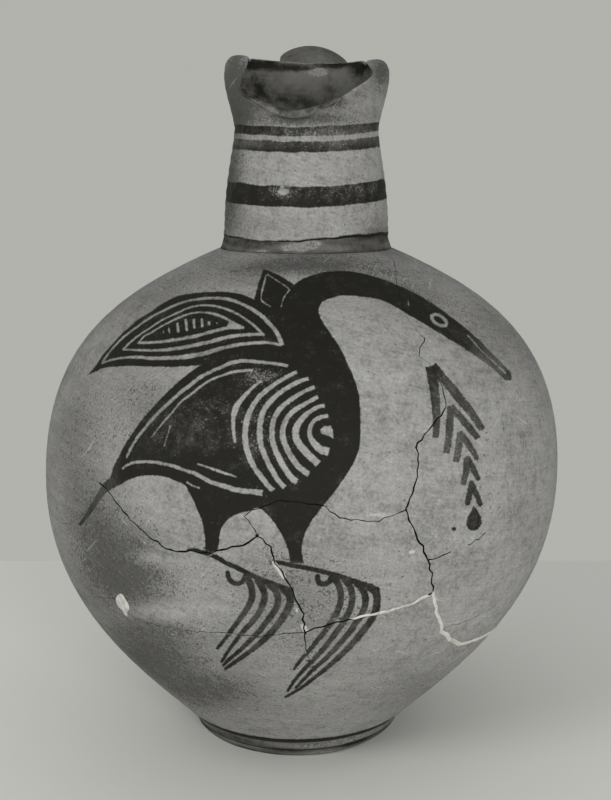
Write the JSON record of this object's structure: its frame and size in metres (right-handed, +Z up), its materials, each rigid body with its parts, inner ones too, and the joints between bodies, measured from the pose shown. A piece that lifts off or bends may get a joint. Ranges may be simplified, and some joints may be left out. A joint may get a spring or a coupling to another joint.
{
  "type": "painted clay jug",
  "caption": "Round-bodied hand-thrown clay jug on a low ring foot, with a narrow neck, a pinched pouring mouth and a strap handle, painted with a long-beaked bird and mended from sherds.",
  "frame": {"origin": "on the surface that the jug stands on, under the middle of its body", "axes": "+Z up through the mouth, -Y towards the pouring lip and the painted bird, +Y towards the handle"},
  "size_m": [0.204, 0.204, 0.2763],
  "materials": {
    "clay": "matt fired clay, painted in dark slip",
    "painted_clay": "matt fired clay under worn dark slip",
    "plaster": "matt plaster filling"
  },
  "bodies": {
    "root": {"foot_ring": "painted_clay", "base_sherd": "clay", "left_sherd": "clay", "centre_sherd": "clay", "shoulder_sherd": "clay", "right_sherd": "clay", "neck_collar": "painted_clay", "neck": "clay", "handle": "clay", "plaster_seam_right": "plaster", "plaster_seam_centre": "plaster", "plaster_flake": "plaster"}
  },
  "joints": []
}
